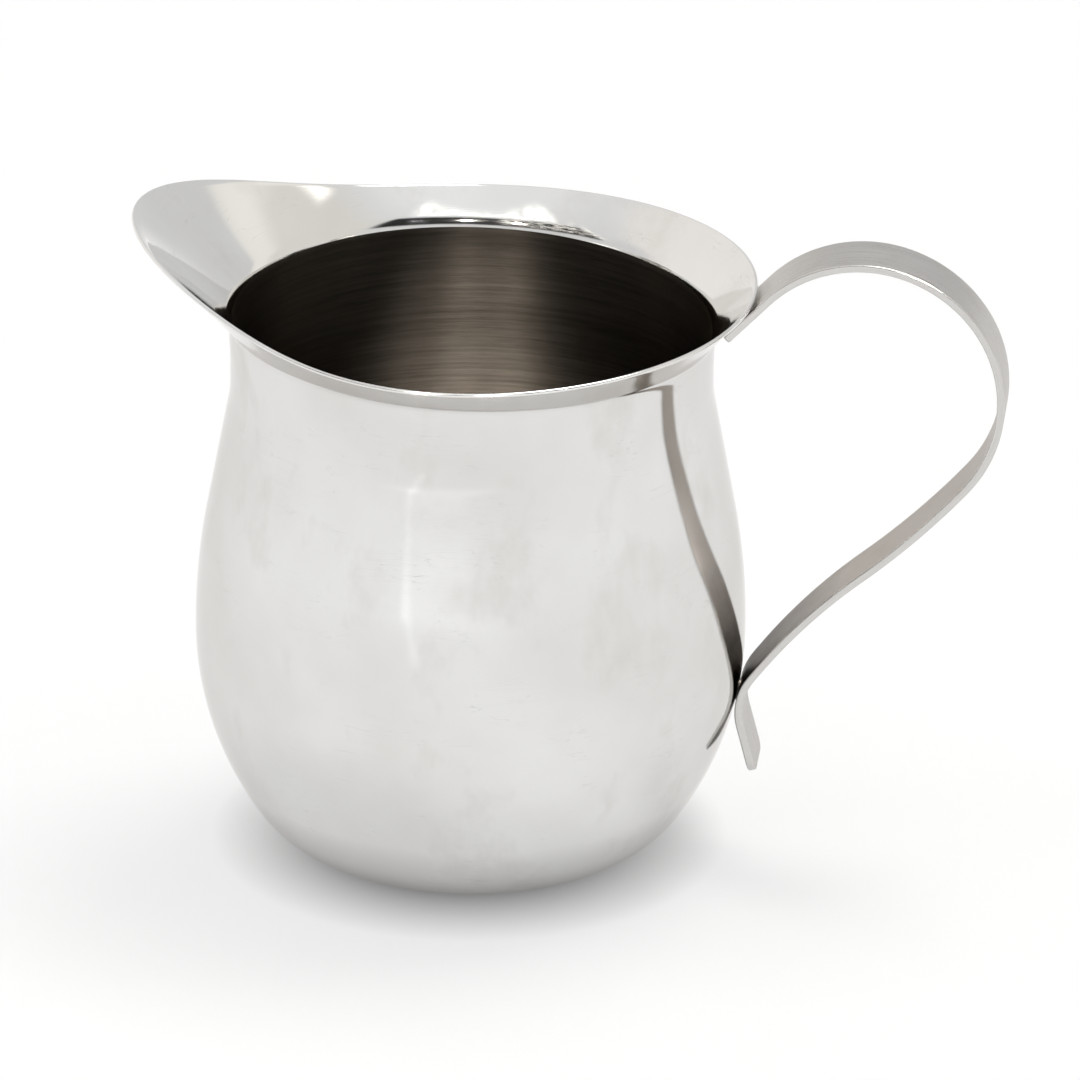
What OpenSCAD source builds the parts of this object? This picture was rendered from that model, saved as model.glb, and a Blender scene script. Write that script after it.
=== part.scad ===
// Bell-shaped metal cream jug with a pulled spout and a bent flat-strap handle.
// Units are millimetres. +Z is up, -X is the spout, +X is the handle.
// The origin is the centre of the flat underside, on the axis of the body.

/* [Body] */
// Largest outside diameter, at the belly
belly_d = 74; // [72:0.5:76]
// Sheet thickness of the body and lip
sheet_t = 0.55; // [0.5:0.05:0.7]
// Radius of the bend between the underside and the lower wall
foot_bend_r = 15; // [13:0.5:16]
// Angle turned by that bend
foot_bend_a = 56; // [52:1:60]
// Radius of the wall curve below the belly line
lower_wall_r = 44; // [42:1:48]
// Radius of the wall curve above the belly line
shoulder_r = 91; // [88:1:94]
// Lean of the straight shoulder, from upright
shoulder_a = 10.6; // [10.2:0.1:11]
// Length of the straight shoulder
shoulder_l = 15.5; // [15:0.1:16]
// Radius of the hollow curve that ends in the upright neck
neck_curve_r = 20; // [18:1:22]

/* [Lip] */
// Height of the line where the neck turns out into the lip, at the spout
crease_z = 75.9; // [75.5:0.1:76.3]
// How much lower that line lies over the handle
crease_drop = 1.6; // [1.4:0.1:1.8]
// Outward step from the neck to that line
crease_step = 0.25; // [0.2:0.05:0.4]
// Outside radius of the turn between neck and lip
crease_bend_r = 3; // [2.5:0.1:3.5]
// Radius of the rim at the sides
rim_side_r = 36.6; // [36.2:0.1:37]
// Radius of the rim over the handle
rim_back_r = 38.1; // [37.7:0.1:38.5]
// Height of the rim at the sides
rim_side_z = 78.8; // [78.4:0.1:79.2]
// Height of the rim over the handle
rim_back_z = 80.6; // [80.2:0.1:81]
// Extra reach of the spout beyond the side radius
spout_reach = 9; // [7:0.5:10]
// Extra height of the spout above the side rim
spout_rise = 9.9; // [8:0.5:11]
// Half-width of the reach, in degrees around the axis
spout_reach_a = 35; // [30:1:40]
// Half-width of the rise, in degrees around the axis
spout_rise_a = 44; // [38:1:50]

/* [Handle] */
// Width of the strap
strap_w = 8.8; // [7:0.2:10]
// Thickness of the strap
strap_t = 1.05; // [0.9:0.05:1.2]
// Distance up the lip from the crease to the strap's upper end
strap_start = 2.1; // [1.9:0.1:2.3]
// Slope of the strap under the lip
strap_start_a = 46.4; // [46:0.1:46.8]
// Straight length at the upper end
strap_start_l = 7.9; // [7.7:0.1:8.1]
// Radius of the first bend, over the top
top_bend_r = 17.5; // [17.3:0.1:17.7]
// Angle of the first bend
top_bend_a = 62.4; // [62:0.1:62.8]
// Radius of the second bend, down the back
back_bend_r = 19; // [18.8:0.1:19.2]
// Angle of the second bend
back_bend_a = 114.3; // [114:0.1:114.6]
// Radius of the slack bend that leads into the run back to the belly
slack_bend_r = 108; // [106:1:110]
// Angle of the slack bend
slack_bend_a = 10.3; // [10.1:0.1:10.5]
// Radius of the slight reverse bend of the run
run_bend_r = 80; // [78:1:82]
// Angle of the reverse bend
run_bend_a = 13.7; // [13.5:0.1:13.9]
// Radius of the last bend, which rests on the belly
seat_bend_r = 8.4; // [8:0.1:8.8]
// Angle of the last bend
seat_bend_a = 51.6; // [49:0.1:54]
// Length of the straight tail below the belly contact
tail_l = 6.9; // [5:0.1:8.5]
// Corner radius of the tail's end
tail_corner_r = 1.6; // [1:0.1:2.5]

/* [Spot welds] */
// Diameter of each weld nugget
nugget_d = 3; // [2.4:0.1:3.4]
// Depth of each nugget in the body sheet
nugget_in_sheet = 0.28; // [0.2:0.02:0.34]
// Depth of each nugget in the strap
nugget_in_strap = 0.4; // [0.3:0.05:0.5]
// Distance of the upper nugget from the strap's upper end
upper_nugget_u = 2.4; // [2.2:0.1:2.8]

/* [Hidden] */

wall_step = 3; // degrees per facet of a wall curve
strap_step = 2; // degrees per facet of a strap bend
belly_r = belly_d / 2;
foot_r = belly_r - foot_bend_r * sin(foot_bend_a) - lower_wall_r * (1 - sin(foot_bend_a));
belly_z = foot_bend_r * (1 - cos(foot_bend_a)) + lower_wall_r * cos(foot_bend_a);
shoulder_top = [
    belly_r - shoulder_r * (1 - cos(shoulder_a)) - shoulder_l * sin(shoulder_a),
    belly_z + shoulder_r * sin(shoulder_a) + shoulder_l * cos(shoulder_a)
];
neck_c = shoulder_top + neck_curve_r * [cos(shoulder_a), sin(shoulder_a)];
neck_r = neck_c[0] - neck_curve_r;
neck_top_z = 70; // where the turned wall hands over to the shaped lip

lip_facets = 96;
crease_facets = 6;
flare_rings = 4;
seat_gap = 0.02; // air between the strap and the body where they rest
lip_tuck = 0.5; // overlap of the lip's lower end inside the neck wall
lip_inset = 0.05; // how far that end stays inside the wall's faces

// Points along an arc, both ends included
function arc_pts(c, r, a0, a1) =
    let (n = max(1, ceil(abs(a1 - a0) / wall_step)))
    [for (i = [0:n]) c + r * [cos(a0 + (a1 - a0) * i / n), sin(a0 + (a1 - a0) * i / n)]];

// One face of the turned wall, moved inwards by d, from the underside to the neck
function wall_face(d) = concat(
    arc_pts([foot_r, foot_bend_r], foot_bend_r - d, -90, foot_bend_a - 90),
    arc_pts([belly_r - lower_wall_r, belly_z], lower_wall_r - d, foot_bend_a - 90, 0),
    arc_pts([belly_r - shoulder_r, belly_z], shoulder_r - d, 0, shoulder_a),
    arc_pts(neck_c, neck_curve_r + d, 180 + shoulder_a, 180),
    [[neck_r - d, neck_top_z]]
);

function reversed(v) = [for (i = [len(v) - 1:-1:0]) v[i]];
function unit(v) = v / norm(v);
function right_of(v) = [v[1], -v[0]];
function turned(v, a) = [v[0] * cos(a) + v[1] * sin(a), v[1] * cos(a) - v[0] * sin(a)];

// Crease and rim of the lip: s is the angle from the spout, 0 to 180
function bell(s, w) = exp(-pow(s / w, 2));
function back(s) = pow((1 - cos(s)) / 2, 2);
function crease(s) = [neck_r + crease_step, crease_z - crease_drop * back(s)];
function rim(s) = [
    rim_side_r + (rim_back_r - rim_side_r) * back(s) + spout_reach * bell(s, spout_reach_a),
    rim_side_z + (rim_back_z - rim_side_z) * back(s) + spout_rise * bell(s, spout_rise_a)
];

// Cross-section of the lip as a closed loop of [radius, height]
function lip_loop(s) = let (
    foot = [neck_r - lip_inset, neck_top_z - lip_tuck],
    foot_in = [neck_r - sheet_t + lip_inset, neck_top_z - lip_tuck],
    d1 = unit(crease(s) - foot),
    d2 = unit(rim(s) - crease(s)),
    turn = acos(d1 * d2),
    s1 = crease(s) - d1 * crease_bend_r * tan(turn / 2),
    bc = s1 + crease_bend_r * right_of(d1),
    flare0 = bc - crease_bend_r * right_of(d2),
    flare1 = rim(s) - d2 * sheet_t / 2,
    lift = -sheet_t * right_of(d2),
    edge = flare1 + lift / 2
) concat(
    [foot],
    [for (i = [0:crease_facets])
        bc - crease_bend_r * right_of(turned(d1, turn * i / crease_facets))],
    [for (i = [1:flare_rings]) flare0 + (flare1 - flare0) * i / flare_rings],
    [for (a = [45, 90, 135]) edge + sheet_t / 2 * turned(right_of(d2), -a)],
    [for (i = [flare_rings:-1:1]) flare0 + (flare1 - flare0) * i / flare_rings + lift],
    [for (i = [crease_facets:-1:0])
        bc - (crease_bend_r + sheet_t) * right_of(turned(d1, turn * i / crease_facets))],
    [foot_in]
);

// Path of the strap's centre line in the XZ plane: each state is [x, z, heading]
function walk(s, l) = [s[0] + l * cos(s[2]), s[1] + l * sin(s[2]), s[2]];
function bend_c(s, r, k) = [s[0] + k * r * sin(s[2]), s[1] - k * r * cos(s[2])];
function bend(s, r, a, k) = let (c = bend_c(s, r, k), h = s[2] - k * a)
    [c[0] - k * r * sin(h), c[1] + k * r * cos(h), h];

lip_dir = unit(rim(180) - crease(180));
strap_face = crease(180) + strap_start * lip_dir + seat_gap * right_of(lip_dir);
p0 = [
    strap_face[0] + strap_t / 2 * sin(strap_start_a),
    strap_face[1] - strap_t / 2 * cos(strap_start_a),
    strap_start_a
];
p1 = walk(p0, strap_start_l);
p2 = bend(p1, top_bend_r, top_bend_a, 1);
p3 = bend(p2, back_bend_r, back_bend_a, 1);
p4 = bend(p3, slack_bend_r, slack_bend_a, 1);
p5 = bend(p4, run_bend_r, run_bend_a, -1);
// The straight run ends where the last bend just rests on the belly's lower curve
belly_c = [belly_r - lower_wall_r, belly_z];
seat_reach = lower_wall_r + seat_gap + strap_t / 2 + seat_bend_r;
run_from = bend_c(p5, seat_bend_r, -1) - belly_c;
run_along = run_from * [cos(p5[2]), sin(p5[2])];
run_l = -run_along - sqrt(pow(run_along, 2) - run_from * run_from + pow(seat_reach, 2));
p6 = walk(p5, run_l);
p7 = bend(p6, seat_bend_r, seat_bend_a, -1);
p8 = walk(p7, tail_l);
seat_dir = unit(bend_c(p6, seat_bend_r, -1) - belly_c);

// Points of one face of the strap, d to the left of the centre line
function left_of(s) = [-sin(s[2]), cos(s[2])];
function bend_pts(s, r, a, k, d, first) =
    let (c = bend_c(s, r, k), n = ceil(a / strap_step))
    [for (i = [first:n]) c + k * (r + k * d) * left_of([0, 0, s[2] - k * a * i / n])];
function strap_side(d) = concat(
    [[p0[0], p0[1]] + d * left_of(p0)],
    bend_pts(p1, top_bend_r, top_bend_a, 1, d, 0),
    bend_pts(p2, back_bend_r, back_bend_a, 1, d, 1),
    bend_pts(p3, slack_bend_r, slack_bend_a, 1, d, 1),
    bend_pts(p4, run_bend_r, run_bend_a, -1, d, 1),
    bend_pts(p6, seat_bend_r, seat_bend_a, -1, d, 0),
    [[p8[0], p8[1]] + d * left_of(p8)]
);

// Air between strap and lip at the upper nugget, measured square to the strap
upper_air = seat_gap + upper_nugget_u * tan(atan2(lip_dir[1], lip_dir[0]) - strap_start_a);

function ring_faces(n, m) = [for (i = [0:n - 1], j = [0:m - 1], k = [0, 1])
    let (
        a = i * m + j,
        b = i * m + (j + 1) % m,
        c = ((i + 1) % n) * m + (j + 1) % m,
        d = ((i + 1) % n) * m + j
    )
    k == 0 ? [a, b, c] : [a, c, d]];

module turned_wall() {
    rotate_extrude($fn = 180)
        polygon(concat([[0, 0]], wall_face(0), reversed(wall_face(sheet_t)), [[0, sheet_t]]));
}

module lip() {
    loops = [for (i = [0:lip_facets - 1]) let (a = 360 * i / lip_facets)
        [for (p = lip_loop(180 - abs(a > 180 ? a - 360 : a))) [p[0] * cos(a), p[0] * sin(a), p[1]]]];
    m = len(loops[0]);
    polyhedron(
        points = [for (l = loops, p = l) p],
        faces = ring_faces(lip_facets, m),
        convexity = 6
    );
}

// Weld nuggets stand across the joint between the strap and the body sheet
module upper_nugget() {
    h = strap_t / 2 + upper_air + nugget_in_sheet;
    translate([p0[0] + upper_nugget_u * cos(p0[2]), 0, p0[1] + upper_nugget_u * sin(p0[2])])
        rotate([0, -p0[2], 0])
            translate([0, 0, strap_t / 2 - nugget_in_strap])
                cylinder(d = nugget_d, h = h - strap_t / 2 + nugget_in_strap, $fn = 48);
}

module lower_nugget() {
    translate([belly_c[0], 0, belly_c[1]])
        rotate([0, 90 - atan2(seat_dir[1], seat_dir[0]), 0])
            translate([0, 0, lower_wall_r - nugget_in_sheet])
                cylinder(d = nugget_d, h = nugget_in_sheet + seat_gap + nugget_in_strap, $fn = 48);
}

// The strap is drawn flat, heading in the XY plane, then stood up in the XZ plane
module strap() {
    rotate([90, 0, 0])
        difference() {
            linear_extrude(strap_w, center = true)
                polygon(concat(strap_side(strap_t / 2), reversed(strap_side(-strap_t / 2))));
            for (e = [-1, 1])
                tail_corner(e);
        }
}

// What is cut away to round one corner of the tail's end
module tail_corner(e) {
    q = tail_corner_r;
    translate([p8[0], p8[1], 0])
        rotate([90, 0, p8[2]])
            linear_extrude(strap_t + 2, center = true)
                translate([-q, e * (strap_w / 2 - q)])
                    difference() {
                        translate([0, e > 0 ? 0 : -q - 1])
                            square(q + 1);
                        circle(r = q, $fn = 48);
                    }
}

module body() {
    color([0.82, 0.82, 0.81])
        difference() {
            union() {
                turned_wall();
                lip();
            }
            upper_nugget();
            lower_nugget();
        }
}

module handle() {
    color([0.72, 0.72, 0.71])
        difference() {
            strap();
            upper_nugget();
            lower_nugget();
        }
}

module upper_weld() {
    color([0.6, 0.58, 0.56])
        upper_nugget();
}

module lower_weld() {
    color([0.6, 0.58, 0.56])
        lower_nugget();
}

body();
handle();
upper_weld();
lower_weld();
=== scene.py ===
import math
import bpy
from mathutils import Matrix, Vector


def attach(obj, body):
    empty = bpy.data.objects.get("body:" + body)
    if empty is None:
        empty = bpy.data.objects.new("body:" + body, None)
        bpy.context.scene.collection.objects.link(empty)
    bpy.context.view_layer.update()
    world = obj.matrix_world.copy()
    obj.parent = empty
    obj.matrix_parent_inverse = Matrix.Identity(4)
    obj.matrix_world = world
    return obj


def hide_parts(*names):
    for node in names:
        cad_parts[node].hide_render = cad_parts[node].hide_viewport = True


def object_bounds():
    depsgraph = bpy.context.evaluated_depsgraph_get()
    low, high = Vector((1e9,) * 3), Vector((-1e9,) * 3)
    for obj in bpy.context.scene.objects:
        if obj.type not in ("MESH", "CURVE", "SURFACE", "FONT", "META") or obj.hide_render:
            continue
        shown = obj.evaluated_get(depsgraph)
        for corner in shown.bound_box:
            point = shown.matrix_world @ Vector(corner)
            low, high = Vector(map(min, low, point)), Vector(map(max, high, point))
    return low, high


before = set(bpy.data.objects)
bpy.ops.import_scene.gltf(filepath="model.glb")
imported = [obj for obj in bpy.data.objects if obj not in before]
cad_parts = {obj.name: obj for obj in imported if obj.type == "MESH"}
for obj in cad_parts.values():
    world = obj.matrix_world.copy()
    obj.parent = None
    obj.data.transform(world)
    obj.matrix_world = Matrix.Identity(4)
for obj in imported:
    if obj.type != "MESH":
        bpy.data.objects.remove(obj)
cad_lo, cad_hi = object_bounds()
scene = bpy.context.scene
scene.view_settings.view_transform = "Standard"
scene.view_settings.look = "None"
MM = 0.001


def cosd(a):
    return math.cos(math.radians(a))


def sind(a):
    return math.sin(math.radians(a))


def towards(az, el):
    """Unit vector to azimuth az, where 0 is the front and 90 is +X, and elevation el, in degrees."""
    return Vector((sind(az) * cosd(el), -cosd(az) * cosd(el), sind(el)))


# ---------------------------------------------------------------- camera
CAM_AZ, CAM_EL, CAM_ROLL = 5.74, 23.54, 0.45
CAM_FAR, CAM_LENS = 1.7344, 426.6
AIM_RIGHT, AIM_UP = 0.00924, 0.03951          # where it aims, across and up the picture from the origin
back = towards(CAM_AZ, CAM_EL)
level = Vector((0, 0, 1)).cross(back).normalized()
upright = back.cross(level)
right = level * cosd(CAM_ROLL) + upright * sind(CAM_ROLL)
up = upright * cosd(CAM_ROLL) - level * sind(CAM_ROLL)
aim = level * AIM_RIGHT + upright * AIM_UP
cam = bpy.data.objects.new("camera", bpy.data.cameras.new("camera"))
cam.data.sensor_width = 36
cam.data.lens = CAM_LENS
cam.data.clip_end = 50
turn = Matrix((right, up, back)).transposed().to_4x4()
cam.matrix_world = Matrix.Translation(aim + back * CAM_FAR) @ turn
scene.collection.objects.link(cam)
scene.camera = cam

# ---------------------------------------------------------------- the jug's shape, in mm and degrees
BELLY = round((cad_hi.y - cad_lo.y) / 2 / MM, 1)          # outer radius at the widest place
SHEET = 0.55
FOOT_R, FOOT_A = 15.0, 56.0          # round bottom edge
LOW_R = 44.0                         # belly below its widest place
SHO_R, SHO_A, SHO_L = 91.0, 10.6, 15.5          # belly above it, and the straight cone that follows
NECK_R, NECK_TOP = 20.0, 70.3        # hollow curve into the upright neck, and where the neck ends
LEAN = math.degrees(math.atan2(0.3, 4.8))       # outward lean above the neck
LEAN_R = 64.0                        # soft bend from the upright neck into the lean
CREASE_Z, CREASE_DROP = 75.9, 1.6    # where the neck turns out into the lip, and how much lower at the back
CREASE_STEP, CREASE_R = 0.25, 3.0    # how far it stands out from the neck, and the radius of the turn
# the rim's radius and height: plain, added over the handle, added at the spout, the spout's spread in degrees
RIM_R, RIM_R_BACK, RIM_R_SPOUT, SPREAD_R = 36.6, 1.5, 9.0, 35
RIM_Z, RIM_Z_BACK, RIM_Z_SPOUT, SPREAD_Z = 78.8, 1.8, 9.9, 44
CURL = 7.0                           # the lip opens out by this much more on its way to the rim
TURN_STEPS, CURL_STEPS = 12, 14      # steps round the turn at the crease, and along the lip

# places that follow: the flat underside's radius, the belly's height, the cone's top, the neck
foot_r = BELLY - FOOT_R * sind(FOOT_A) - LOW_R * (1 - sind(FOOT_A))
belly_z = FOOT_R * (1 - cosd(FOOT_A)) + LOW_R * cosd(FOOT_A)
sho_top = (BELLY - SHO_R * (1 - cosd(SHO_A)) - SHO_L * sind(SHO_A),
           belly_z + SHO_R * sind(SHO_A) + SHO_L * cosd(SHO_A))
neck_c = (sho_top[0] + NECK_R * cosd(SHO_A), sho_top[1] + NECK_R * sind(SHO_A))
neck_r = neck_c[0] - NECK_R


def back_share(s):
    """0 at the spout, 1 over the handle, s degrees round from the spout."""
    return ((1 - cosd(s)) / 2) ** 2


def crease_at(s):
    """Radius and height of the line where the neck turns out into the lip, s degrees round from the spout."""
    return neck_r + CREASE_STEP, CREASE_Z - CREASE_DROP * back_share(s)


def rim(s):
    """Radius and height of the rim, s degrees round from the spout."""
    b = back_share(s)
    return (RIM_R + RIM_R_BACK * b + RIM_R_SPOUT * math.exp(-((s / SPREAD_R) ** 2)),
            RIM_Z + RIM_Z_BACK * b + RIM_Z_SPOUT * math.exp(-((s / SPREAD_Z) ** 2)))


def arc(out, c, r, a0, a1, n, side=1, skip=0):
    """Adds points of an arc as (r, z, inward normal); side -1 where its centre is outside the metal."""
    for i in range(skip, n + 1):
        a = a0 + (a1 - a0) * i / n
        out.append((c[0] + r * cosd(a), c[1] + r * sind(a), -side * cosd(a), -side * sind(a)))


# the turned wall as (radius, height, inward normal), from the underside up to the neck
wall = []
for k in range(1, 9):
    wall.append((foot_r * k / 8, 0.0, 0.0, 1.0))
arc(wall, (foot_r, FOOT_R), FOOT_R, -90, FOOT_A - 90, 26, skip=1)
arc(wall, (BELLY - LOW_R, belly_z), LOW_R, FOOT_A - 90, 0, 26, skip=1)
arc(wall, (BELLY - SHO_R, belly_z), SHO_R, 0, SHO_A, 14, skip=1)
straight0 = (BELLY - SHO_R * (1 - cosd(SHO_A)), belly_z + SHO_R * sind(SHO_A))
for k in range(1, 7):
    t = k / 6
    wall.append((straight0[0] + (sho_top[0] - straight0[0]) * t,
                 straight0[1] + (sho_top[1] - straight0[1]) * t, -cosd(SHO_A), -sind(SHO_A)))
arc(wall, neck_c, NECK_R, 180 + SHO_A, 180, 10, side=-1, skip=1)


def lip(s):
    """Outer face above the neck, s degrees round from the spout, and the way that it ends in."""
    out = []
    half = LEAN_R * math.tan(math.radians(LEAN / 2))
    arc(out, (neck_r + LEAN_R, NECK_TOP - half), LEAN_R, 180, 180 - LEAN, 5, side=-1)
    crease = crease_at(s)
    rr, rz = rim(s)
    # the lip's first direction and its end depend on each other, and settle in a few rounds
    chord = math.degrees(math.atan2(rr - crease[0], rz - crease[1]))
    for _ in range(6):
        start = chord - CURL / 2
        end_way = (sind(start + CURL), cosd(start + CURL))
        tip = (rr - end_way[0] * SHEET / 2, rz - end_way[1] * SHEET / 2)
        reach = CREASE_R * math.tan(math.radians((start - LEAN) / 2))
        root = (crease[0] + sind(start) * reach, crease[1] + cosd(start) * reach)
        chord = math.degrees(math.atan2(tip[0] - root[0], tip[1] - root[1]))
    # straight up the lean, then the turn at the crease, then the slowly opening lip
    lean_end = (crease[0] - sind(LEAN) * reach, crease[1] - cosd(LEAN) * reach)
    last = out[-1]
    for t in (1 / 3, 2 / 3):
        out.append((last[0] + (lean_end[0] - last[0]) * t, last[1] + (lean_end[1] - last[1]) * t,
                    -cosd(LEAN), sind(LEAN)))
    c = (lean_end[0] + CREASE_R * cosd(LEAN), lean_end[1] - CREASE_R * sind(LEAN))
    arc(out, c, CREASE_R, 180 - LEAN, 180 - start, TURN_STEPS, side=-1)
    lip_r = math.hypot(tip[0] - root[0], tip[1] - root[1]) / 2 / sind(CURL / 2)
    c = (root[0] + lip_r * cosd(start), root[1] - lip_r * sind(start))
    arc(out, c, lip_r, 180 - start, 180 - start - CURL, CURL_STEPS, side=-1, skip=1)
    return out, end_way


SIDES, EDGE = 288, 8          # steps round the jug, and round the edge of the sheet
cols = []                     # one section for each step, from the underside over the rim to the inner floor
for i in range(SIDES):
    a = 360 * i / SIDES       # 0 is over the handle, 180 at the spout
    top, end_way = lip(180 - min(a, 360 - a))
    outer = wall + top
    section = [(r, z) for r, z, _, _ in outer]
    er, ez, nr, nz = outer[-1]
    mid = (er + nr * SHEET / 2, ez + nz * SHEET / 2)
    for k in range(1, EDGE):
        q = 180 * k / EDGE
        section.append((mid[0] - nr * SHEET / 2 * cosd(q) + end_way[0] * SHEET / 2 * sind(q),
                        mid[1] - nz * SHEET / 2 * cosd(q) + end_way[1] * SHEET / 2 * sind(q)))
    section += [(r + nr * SHEET, z + nz * SHEET) for r, z, nr, nz in reversed(outer)]
    cols.append([(r * cosd(a) * MM, r * sind(a) * MM, z * MM) for r, z in section])


def new_piece(name, verts, faces, mats, indices, smooth=True, uv=None):
    """A mesh object; indices gives each face's place in mats, uv a pair for each vertex."""
    me = bpy.data.meshes.new(name)
    me.from_pydata(verts, [], faces)
    for m in mats:
        me.materials.append(m)
    me.polygons.foreach_set("material_index", indices)
    me.polygons.foreach_set("use_smooth", [smooth] * len(faces))
    if uv:
        layer = me.uv_layers.new(name="strip")
        for li, loop in enumerate(me.loops):
            layer.data[li].uv = uv[loop.vertex_index]
    me.update()
    ob = bpy.data.objects.new(name, me)
    scene.collection.objects.link(ob)
    return ob


# ---------------------------------------------------------------- materials
def shader(name):
    """A new metal: the material, its node tree and its main shader."""
    m = bpy.data.materials.new(name)
    m.use_nodes = True
    nt = m.node_tree
    bsdf = nt.nodes["Principled BSDF"]
    bsdf.inputs["Metallic"].default_value = 1.0
    return m, nt, bsdf


def node(nt, kind):
    return nt.nodes.new("ShaderNode" + kind)


def noise(nt, vec, scale, detail=3.0, rough=0.5):
    n = node(nt, "TexNoise")
    n.inputs["Scale"].default_value = scale
    n.inputs["Detail"].default_value = detail
    n.inputs["Roughness"].default_value = rough
    nt.links.new(vec, n.inputs["Vector"])
    return n.outputs["Fac"]


def stretched(nt, src, scale):
    n = node(nt, "Mapping")
    n.inputs["Scale"].default_value = scale
    nt.links.new(src, n.inputs["Vector"])
    return n.outputs["Vector"]


def ramp(nt, fac, stops):
    n = node(nt, "ValToRGB")
    cr = n.color_ramp
    while len(cr.elements) < len(stops):
        cr.elements.new(0.5)
    for e, (p, c) in zip(cr.elements, stops):
        e.position = p
        e.color = (*c, 1) if isinstance(c, tuple) else (c, c, c, 1)
    nt.links.new(fac, n.inputs["Fac"])
    return n.outputs["Color"]


def remap(nt, fac, a, b, lo, hi):
    """fac from a..b to lo..hi, held at both ends."""
    n = node(nt, "MapRange")
    for k, v in (("From Min", a), ("From Max", b), ("To Min", lo), ("To Max", hi)):
        n.inputs[k].default_value = v
    nt.links.new(fac, n.inputs["Value"])
    return n.outputs["Result"]


def bump(nt, height, strength, distance, normal=None):
    n = node(nt, "Bump")
    n.inputs["Strength"].default_value = strength
    n.inputs["Distance"].default_value = distance
    nt.links.new(height, n.inputs["Height"])
    if normal is not None:
        nt.links.new(normal, n.inputs["Normal"])
    return n.outputs["Normal"]


def coords(nt, which="Object"):
    return node(nt, "TexCoord").outputs[which]


def mix(nt, fac, a, b):
    n = node(nt, "Mix")
    n.data_type = "RGBA"
    for sock, v in ((n.inputs["Factor"], fac), (n.inputs["A"], a), (n.inputs["B"], b)):
        if isinstance(v, (int, float)):
            sock.default_value = v
        elif isinstance(v, tuple):
            sock.default_value = (*v, 1)
        else:
            nt.links.new(v, sock)
    return n.outputs["Result"]


def math_node(nt, op, *args):
    n = node(nt, "Math")
    n.operation = op
    for i, v in enumerate(args):
        if isinstance(v, (int, float)):
            n.inputs[i].default_value = v
        else:
            nt.links.new(v, n.inputs[i])
    return n.outputs[0]


def scratches(nt, src, turn, scale, thin):
    """Sparse hairline scratches along one direction: 1 on a scratch, 0 elsewhere."""
    m = node(nt, "Mapping")
    m.inputs["Rotation"].default_value = turn
    m.inputs["Scale"].default_value = scale
    nt.links.new(src, m.inputs["Vector"])
    n = noise(nt, m.outputs["Vector"], 1, 2, 0.5)
    line = math_node(nt, "ABSOLUTE", math_node(nt, "SUBTRACT", n, 0.5))
    return remap(nt, line, 0, thin, 1, 0)


def scaled(colour, k):
    return tuple(v * k for v in colour)


def mirror_steel(name, gain, grazing):
    """Polished sheet, its colours times gain; grazing is the tint at grazing angles."""
    m, nt, b = shader(name)
    b.inputs["Specular Tint"].default_value = (*grazing, 1)
    c = coords(nt)
    cloud = noise(nt, c, 38, 3, 0.5)
    warm = noise(nt, stretched(nt, c, (1.3, 1.3, 0.8)), 75, 4, 0.6)
    dull, bright = scaled((0.695, 0.687, 0.672), gain), scaled((0.77, 0.768, 0.76), gain)
    base = ramp(nt, cloud, [(0.32, dull), (0.66, bright)])
    stain = remap(nt, warm, 0.54, 0.78, 0, 0.55)
    col = mix(nt, stain, base, scaled((0.62, 0.60, 0.57), gain))
    marks = math_node(nt, "MAXIMUM", scratches(nt, c, (0.4, 0.9, 0.2), (60, 60, 700), 0.004),
                      scratches(nt, c, (1.3, 0.3, 0.8), (50, 50, 620), 0.003))
    patch = remap(nt, noise(nt, c, 120, 2, 0.5), 0.52, 0.62, 0, 1)
    marks = math_node(nt, "MULTIPLY", marks, patch)
    col = mix(nt, math_node(nt, "MULTIPLY", marks, 0.22), col, (0.42, 0.41, 0.40))
    nt.links.new(col, b.inputs["Base Color"])
    fine = noise(nt, stretched(nt, c, (1, 1, 14)), 260, 5, 0.6)
    haze = remap(nt, fine, 0.3, 0.7, 0.045, 0.085)
    rough = math_node(nt, "ADD", haze, math_node(nt, "MULTIPLY", marks, 0.2))
    nt.links.new(rough, b.inputs["Roughness"])
    wave = noise(nt, c, 60, 2, 0.4)
    hair = noise(nt, stretched(nt, c, (1, 1, 30)), 500, 3, 0.7)
    waved = bump(nt, wave, 0.35, 0.0003)
    brushed = bump(nt, hair, 0.10, 0.00002, waved)
    nt.links.new(bump(nt, marks, -0.3, 0.00002, brushed), b.inputs["Normal"])
    return m


def brushed_inside():
    """Steel brushed round the jug's axis, its colour painted very dark as the shade down inside the jug."""
    m, nt, b = shader("inside_steel_painted_shade")
    b.inputs["Specular Tint"].default_value = (0.5, 0.48, 0.46, 1)
    c = coords(nt)
    lines = noise(nt, stretched(nt, c, (1, 1, 60)), 300, 6, 0.75)
    bands = noise(nt, stretched(nt, c, (0.6, 0.6, 30)), 60, 3, 0.6)
    both = math_node(nt, "ADD", math_node(nt, "MULTIPLY", lines, 0.6), math_node(nt, "MULTIPLY", bands, 0.4))
    # painted shade: a colour far darker than steel, for the dim inside of the jug
    col = ramp(nt, both, [(0.36, (0.025, 0.0215, 0.018)), (0.64, (0.052, 0.0455, 0.0385))])
    nt.links.new(col, b.inputs["Base Color"])
    nt.links.new(remap(nt, lines, 0.3, 0.7, 0.38, 0.48), b.inputs["Roughness"])
    b.inputs["Anisotropic"].default_value = 0.9
    b.inputs["Anisotropic Rotation"].default_value = 0.25
    t = node(nt, "Tangent")
    t.direction_type = "RADIAL"
    t.axis = "Z"
    nt.links.new(t.outputs["Tangent"], b.inputs["Tangent"])
    nt.links.new(bump(nt, both, 0.16, 0.00006), b.inputs["Normal"])
    return m


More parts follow.
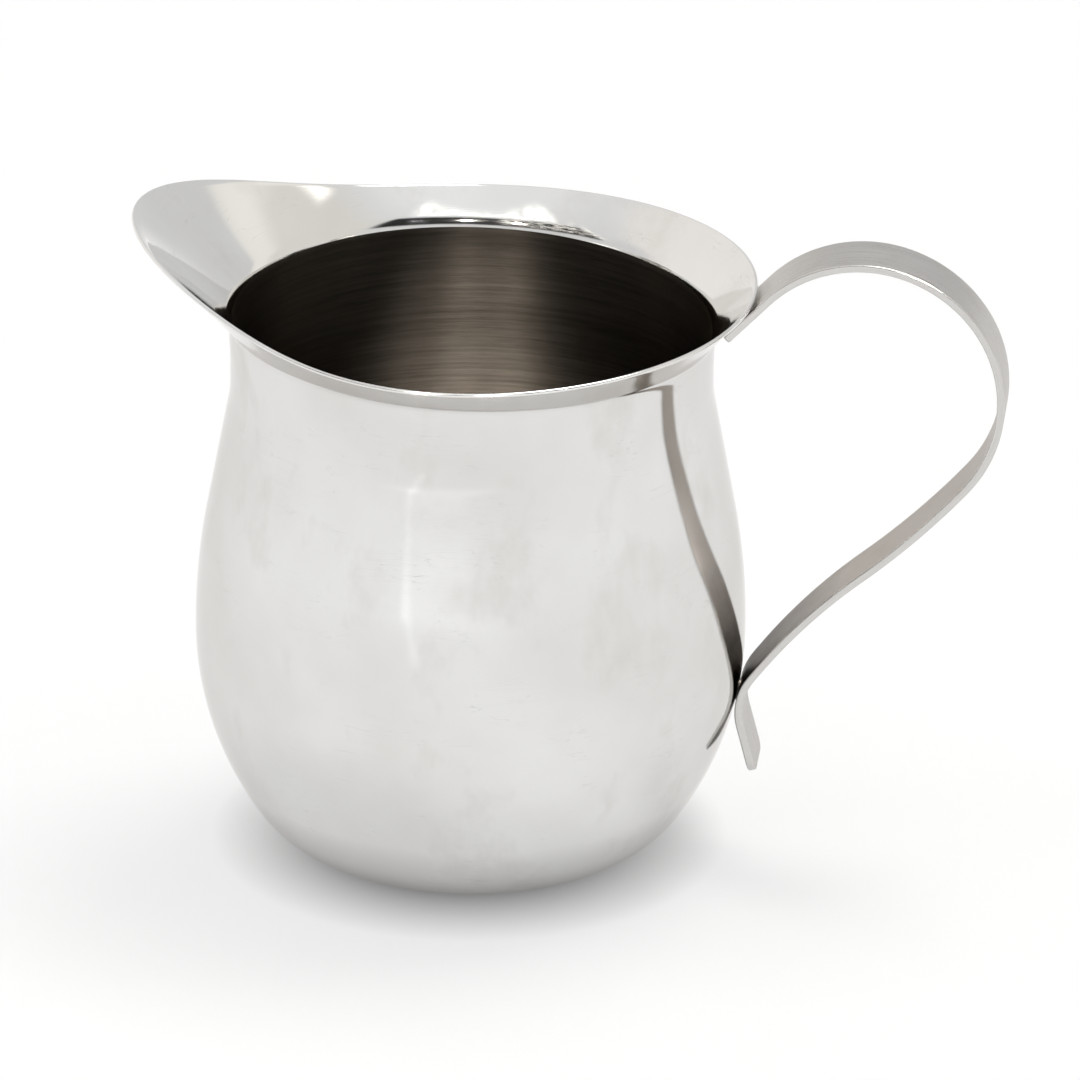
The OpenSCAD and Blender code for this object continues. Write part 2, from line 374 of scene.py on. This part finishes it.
def satin_strap(name, base, r0, r1, tint=None):
    """Strip brushed along its length, of roughness r0 to r1. tint is a colour painted in as shade, and the
    distances along the strip where it starts and is full, in metres."""
    m, nt, b = shader(name)
    b.inputs["Specular Tint"].default_value = (0.8, 0.79, 0.78, 1)
    c = coords(nt, "UV")
    lines = noise(nt, stretched(nt, c, (60, 2600, 1)), 1, 6, 0.65)
    blotch = noise(nt, stretched(nt, c, (220, 160, 1)), 1, 3, 0.6)
    col = ramp(nt, lines, [(0.3, scaled(base, 0.93)), (0.7, scaled(base, 1.05))])
    dulled = tuple(v * k for v, k in zip(base, (0.84, 0.81, 0.77)))
    col = mix(nt, remap(nt, blotch, 0.5, 0.8, 0, 0.5), col, dulled)
    if tint:
        # painted shade: the strip is darkened from start to full
        shade_colour, start, full = tint
        sep = node(nt, "SeparateXYZ")
        nt.links.new(c, sep.inputs["Vector"])
        uneven = math_node(nt, "MULTIPLY", math_node(nt, "SUBTRACT", blotch, 0.5), 0.008)
        x = math_node(nt, "ADD", sep.outputs["X"], uneven)
        col = mix(nt, remap(nt, x, start, full, 0, 1), col, shade_colour)
    nt.links.new(col, b.inputs["Base Color"])
    nt.links.new(remap(nt, lines, 0.3, 0.7, r0, r1), b.inputs["Roughness"])
    nt.links.new(bump(nt, lines, 0.15, 0.00003), b.inputs["Normal"])
    return m


def weld_metal():
    m, nt, b = shader("weld_metal")
    c = coords(nt)
    f = noise(nt, c, 900, 4, 0.6)
    nt.links.new(ramp(nt, f, [(0.3, (0.14, 0.12, 0.10)), (0.7, (0.26, 0.24, 0.22))]), b.inputs["Base Color"])
    nt.links.new(remap(nt, f, 0.3, 0.7, 0.3, 0.5), b.inputs["Roughness"])
    nt.links.new(bump(nt, f, 0.3, 0.0001), b.inputs["Normal"])
    return m


POLISHED = mirror_steel("polished_steel", 1.0, (0.86, 0.85, 0.84))
LIP = mirror_steel("polished_lip", 1.1, (1, 1, 1))
INSIDE = brushed_inside()
STRAP = satin_strap("satin_strap", (0.59, 0.58, 0.565), 0.24, 0.36)
# the edges and ends are a lighter copy of the strap: painted highlight along them
STRAP_EDGE = satin_strap("strap_edge", (0.64, 0.63, 0.615), 0.16, 0.26)
# painted shade: the inner face turns almost black on its way down to where the strap closes on the belly
BELLY_GAP_SHADE = ((0.045, 0.036, 0.028), 0.086, 0.106)          # dark, on the way down to the lower weld
# the inner face is a darker copy of the strap: painted shade on the side that faces the belly
STRAP_IN = satin_strap("strap_inner_face", (0.475, 0.44, 0.41), 0.26, 0.38, BELLY_GAP_SHADE)

# ---------------------------------------------------------------- body: faces are 0 outside, 1 inside, 2 lip
verts, faces, mat = [], [], []
for col in cols:
    verts += col
rows = len(cols[0])
lip_from = len(outer) - 1
# the lip's polish ends, and the brushing starts, most of the way round the turn at the crease
inner_from = lip_from + EDGE + CURL_STEPS + TURN_STEPS - 4
for i in range(SIDES):
    j = (i + 1) % SIDES
    for k in range(rows - 1):
        faces.append((i * rows + k, j * rows + k, j * rows + k + 1, i * rows + k + 1))
        mat.append(1 if k >= inner_from else 2 if k >= lip_from else 0)
for ring, z, outside in ((0, 0.0, True), (rows - 1, SHEET * MM, False)):
    verts.append((0, 0, z))
    for i in range(SIDES):
        j = (i + 1) % SIDES
        f = (len(verts) - 1, j * rows + ring, i * rows + ring)
        faces.append(f if outside else f[::-1])
        mat.append(0 if outside else 1)
body = new_piece("jug_body", verts, faces, [POLISHED, INSIDE, LIP], mat)
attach(body, "root")
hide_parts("body")


# ---------------------------------------------------------------- strap handle
# its centre line is followed by states: x, z and heading
def walk(s, d):
    return (s[0] + d * cosd(s[2]), s[1] + d * sind(s[2]), s[2])


def bend_centre(s, r, k):
    return (s[0] + k * r * sind(s[2]), s[1] - k * r * cosd(s[2]))


def bend(s, r, a, k):
    """The state after a bend of radius r through a degrees; k is 1 to the right and -1 to the left."""
    c, h = bend_centre(s, r, k), s[2] - k * a
    return (c[0] - k * r * sind(h), c[1] + k * r * cosd(h), h)


def follow(s, leg):
    return walk(s, leg[1]) if leg[0] == "walk" else bend(s, *leg[1:])


WIDTH, THICK, GAP = 8.8, 1.05, 0.02
START_OUT, START_A = 2.1, 46.4       # its start, out along the lip from the crease, and its first heading
SEAT_R, SEAT_A, TAIL = 8.4, 51.6, 6.9           # the bend that touches the belly, and the straight tail
rim_back, crease = rim(180), crease_at(180)
lip_len = math.hypot(rim_back[0] - crease[0], rim_back[1] - crease[1])
lip_way = ((rim_back[0] - crease[0]) / lip_len, (rim_back[1] - crease[1]) / lip_len)
p0 = (crease[0] + START_OUT * lip_way[0] + GAP * lip_way[1] + THICK / 2 * sind(START_A),
      crease[1] + START_OUT * lip_way[1] - GAP * lip_way[0] - THICK / 2 * cosd(START_A), START_A)
# straight runs (length) and bends (radius, degrees, side), from the lip round the loop and down to the belly
legs = [("walk", 7.9), ("bend", 17.5, 62.4, 1), ("bend", 19.0, 114.3, 1),
        ("bend", 108.0, 10.3, 1), ("bend", 80.0, 13.7, -1)]
s = p0
for leg in legs:
    s = follow(s, leg)
# the straight run that follows is as long as it takes to bring the next bend up to the belly
apart = LOW_R + GAP + THICK / 2 + SEAT_R
centre = bend_centre(s, SEAT_R, -1)
rel = (centre[0] - (BELLY - LOW_R), centre[1] - belly_z)
ahead_by = rel[0] * cosd(s[2]) + rel[1] * sind(s[2])
run = -ahead_by - math.sqrt(ahead_by ** 2 - rel[0] ** 2 - rel[1] ** 2 + apart ** 2)
legs += [("walk", run), ("bend", SEAT_R, SEAT_A, -1), ("walk", TAIL)]

path = [(p0, 0.0)]                   # (state, length so far)
s, TOTAL = p0, 0.0
for leg in legs:
    if leg[0] == "walk":
        length = leg[1]
        n = max(2, round(length))
        parts = [("walk", length * k / n) for k in range(1, n + 1)]
    else:
        _, r, a, side = leg
        length = math.radians(a) * r
        n = max(6, round(length / 0.8))
        parts = [("bend", r, a * k / n, side) for k in range(1, n + 1)]
    for k, part in enumerate(parts):
        path.append((follow(s, part), TOTAL + length * (k + 1) / n))
    s = follow(s, leg)
    TOTAL += length


def state_at(x):
    """State of the centre line x mm along it."""
    for (s0, u0), (s1, u1) in zip(path, path[1:]):
        if x <= u1 + 1e-9:
            t = (x - u0) / (u1 - u0)
            return tuple(p + (q - p) * t for p, q in zip(s0, s1))
    return path[-1][0]


ROUND, TAIL_R = 0.24, 1.6            # rounding of the edges, and of the tail's two corners
FLAT, CORNER = 10, 5                 # steps across a flat face, and round an edge
# where along the strip the sections stand: closer together at the rounded ends
stations = [0.0, 0.03, 0.09, ROUND]
stations += [round(far, 4) for _, far in path if ROUND < far < TOTAL - 2]
stations += [TOTAL - TAIL_R - 0.4, TOTAL - 0.12, TOTAL - 0.04]
stations += [TOTAL - TAIL_R * (1 - sind(9 * k)) for k in range(11)]
stations = sorted(set(stations))


def end_round(d, r):
    """How far a rounding of radius r draws the section in, d mm from the end."""
    return 0.0 if d >= r else r - math.sqrt(max(0.0, r ** 2 - (r - d) ** 2))


# each face of the strap is 0 outer face, 1 edge or end, 2 inner face
hverts, hfaces, hmat, huv = [], [], [], []
for x in stations:
    st = state_at(x)
    tail = TOTAL - x
    inset = end_round(x, ROUND) + end_round(tail, ROUND)
    cx = WIDTH / 2 - ROUND - max(inset, end_round(tail, TAIL_R))
    cy = THICK / 2 - ROUND - inset * 0.9
    loop = []
    for side, x0, y0, a0 in ((-1, cx, cy, 0), (0, -cx, cy, 90), (1, -cx, -cy, 180), (0, cx, -cy, 270)):
        for k in range(CORNER + 1):
            loop.append((x0 + ROUND * cosd(a0 + 90 * k / CORNER), y0 + ROUND * sind(a0 + 90 * k / CORNER)))
        if side:                     # points across the flat face that follows this corner
            for k in range(1, FLAT):
                loop.append((side * cx * (2 * k / FLAT - 1), y0 - side * ROUND))
    off_x, off_z = -sind(st[2]), cosd(st[2])
    for a, b in loop:
        hverts.append(((st[0] + off_x * b) * MM, a * MM, (st[1] + off_z * b) * MM))
        huv.append((x * MM, a * MM + (0.02 if b < 0 else 0)))
around = len(loop)
for k in range(len(stations) - 1):
    for q in range(around):
        w = (q + 1) % around
        hfaces.append((k * around + q, k * around + w, (k + 1) * around + w, (k + 1) * around + q))
        on_flat = CORNER <= q % (around // 2) < CORNER + FLAT
        hmat.append((2 if q > around // 2 else 0) if on_flat else 1)
hfaces.append(tuple(reversed(range(around))))
hfaces.append(tuple((len(stations) - 1) * around + q for q in range(around)))
hmat += [1, 1]
strap = new_piece("strap_handle", hverts, hfaces, [STRAP, STRAP_EDGE, STRAP_IN], hmat, uv=huv)
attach(strap, "root")
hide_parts("handle")

# ---------------------------------------------------------------- welds keep their CAD shape
WELD = weld_metal()
for n in ("upper_weld", "lower_weld"):
    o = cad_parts[n]
    o.data.materials.clear()
    o.data.materials.append(WELD)

# ---------------------------------------------------------------- floor and light
fm, fnt, fb = shader("pale_floor")
fb.inputs["Metallic"].default_value = 0
fb.inputs["Base Color"].default_value = (0.37, 0.37, 0.372, 1)
fb.inputs["Roughness"].default_value = 0.9
fb.inputs["Specular IOR Level"].default_value = 0.1
fb.inputs["Emission Color"].default_value = (0.995, 0.998, 1, 1)
fsep = node(fnt, "SeparateXYZ")
fnt.links.new(coords(fnt), fsep.inputs["Vector"])


def strip(x0, y0, x1, y1, half, soft):
    """1 within half of the floor line from (x0, y0) to (x1, y1), in metres."""
    length = math.hypot(x1 - x0, y1 - y0)
    dx, dy = (x1 - x0) / length, (y1 - y0) / length

    def along(ax, ay, c):
        return math_node(fnt, "ADD", math_node(fnt, "ADD", math_node(fnt, "MULTIPLY", fsep.outputs["X"], ax),
                                               math_node(fnt, "MULTIPLY", fsep.outputs["Y"], ay)), c)
    side = math_node(fnt, "ABSOLUTE", along(-dy, dx, dy * x0 - dx * y0))
    ends = math_node(fnt, "ABSOLUTE", along(dx, dy, -dx * (x0 + x1) / 2 - dy * (y0 + y1) / 2))
    return math_node(fnt, "MULTIPLY", remap(fnt, side, half - soft, half + soft, 1, 0),
                     remap(fnt, ends, length / 2 - soft * 2, length / 2 + soft * 2, 1, 0))


# the floor's own glow: a weak pool in front, two lines that show in the belly as one fine highlight, and
# an even part that fades out under the jug, painting a darker shade round its foot where its shadow is
pool = strip(-0.06, -0.45, -0.16, -1.5, 0.22, 0.05)
near_line = math_node(fnt, "MULTIPLY", strip(-0.055, -0.21, -0.16, -0.46, 0.006, 0.005), 0.13)
far_line = math_node(fnt, "MULTIPLY", strip(-0.16, -0.46, -0.515, -1.28, 0.02, 0.012), 0.19)
joint = math_node(fnt, "ADD", near_line, far_line)
away = node(fnt, "VectorMath")
away.operation = "LENGTH"
fnt.links.new(coords(fnt), away.inputs[0])
even = remap(fnt, away.outputs["Value"], 0.016, 0.035, 0.04, 0.61)
glow = math_node(fnt, "ADD", math_node(fnt, "MULTIPLY", pool, 0.09), joint)
fnt.links.new(math_node(fnt, "ADD", glow, even), fb.inputs["Emission Strength"])
corners = [(-4, -4, 0), (4, -4, 0), (4, 4, 0), (-4, 4, 0)]
floor = new_piece("floor", corners, [(0, 1, 2, 3)], [fm], [0], smooth=False)

# three small soft lamps, flagged down to the mouth, reach the brushed inside and little else
LAMP_UP, LAMP_FAR = 42, 1.1          # elevation, and distance from the target
target = Vector((0, 0.033, 0.031))   # on the far wall, inside
for n, (az, power) in enumerate(((-16, 480), (11, 560), (38, 320))):
    lamp = bpy.data.lights.new(f"mouth_lamp_{n + 1}", "SPOT")
    lamp.energy, lamp.shadow_soft_size, lamp.color = power, 0.018, (1, 0.95, 0.88)
    lamp.spot_size, lamp.spot_blend = math.radians(2.55), 0.8
    way = towards(az, LAMP_UP)
    hung = bpy.data.objects.new(lamp.name, lamp)
    facing = way.to_track_quat("Z", "Y").to_matrix().to_4x4()
    hung.matrix_world = Matrix.Translation(target + way * LAMP_FAR) @ facing
    scene.collection.objects.link(hung)

world = bpy.data.worlds.new("studio")
scene.world = world
world.use_nodes = True
wnt = world.node_tree
bg = wnt.nodes["Background"]
direction = coords(wnt, "Generated")
sep = node(wnt, "SeparateXYZ")
wnt.links.new(direction, sep.inputs["Vector"])
ahead = math_node(wnt, "MULTIPLY", sep.outputs["Y"], -1)
AZ = math_node(wnt, "DEGREES", math_node(wnt, "ARCTAN2", sep.outputs["X"], ahead))
EL = math_node(wnt, "DEGREES", math_node(wnt, "ARCSINE", sep.outputs["Z"]))
sky = ramp(wnt, sep.outputs["Z"], [(0.0, 0.78), (0.42, 0.74), (0.85, 0.82), (0.95, 0.92), (1.0, 0.92)])


def panel(under, az, el, soft, colour, amount=1.0, patches=None):
    """A soft-edged panel of the studio between two azimuths and two elevations, in degrees; azimuth 0 is the
    front and 90 is +X. It is painted over what is under it."""
    f = amount
    for v, (low, high) in ((AZ, az), (EL, el)):
        n = node(wnt, "MapRange")
        n.interpolation_type = "SMOOTHSTEP"
        half = (high - low) / 2
        n.inputs["From Min"].default_value = half + soft
        n.inputs["From Max"].default_value = max(0.0, half - soft)
        wnt.links.new(math_node(wnt, "PINGPONG", math_node(wnt, "SUBTRACT", v, (low + high) / 2), 180),
                      n.inputs["Value"])
        f = math_node(wnt, "MULTIPLY", n.outputs["Result"], f)
    if patches is not None:
        f = math_node(wnt, "MULTIPLY", f, patches)
    return mix(wnt, f, under, colour)


fine_room = noise(wnt, direction, 22, 4, 0.7)
# each panel is painted over those above it: an overhead softbox behind the jug comes first
sky = panel(sky, (112, 178), (62, 84), 4, (9.0, 8.8, 8.6))
# a warm wall at the right, with a brighter strip where it ends
sky = panel(sky, (60, 131), (-10, 52), 6, (0.80, 0.78, 0.735))
sky = panel(sky, (116, 131), (-5, 55), 5, (0.96, 0.94, 0.89), 0.9)
# a grey screen at the back, and a pale wall at the left
sky = panel(sky, (131, 200), (-8, 60), 1.5, (0.72, 0.72, 0.72))
sky = panel(sky, (-158, -84), (-8, 52), 8, (0.93, 0.90, 0.87))
# a glow all round the horizon, and a small window high on the right
sky = panel(sky, (-190, 190), (-30, 2), 6, (0.93, 0.92, 0.90), 0.75)
sky = panel(sky, (98, 114), (46, 50), 2, (2.0, 1.95, 1.85), 0.8)
# the dark room in front, with broken light in it and a broken row of lights above it
sky = panel(sky, (-58, 58), (25, 55), 3, (0.03, 0.03, 0.03))
sky = panel(sky, (-62, -6), (30, 58), 3, (1.6, 1.55, 1.45), 1.0, remap(wnt, fine_room, 0.52, 0.56, 0, 1))
sky = panel(sky, (-50, 54), (61, 70), 2.5, (2.2, 2.2, 2.1), 1.0, remap(wnt, fine_room, 0.47, 0.55, 0.1, 1))
# seen directly, the room is a plain white backdrop
seen = node(wnt, "LightPath").outputs["Is Camera Ray"]
sky = mix(wnt, seen, sky, (1.0, 1.0, 1.0))
wnt.links.new(sky, bg.inputs["Color"])
bg.inputs["Strength"].default_value = 1.0
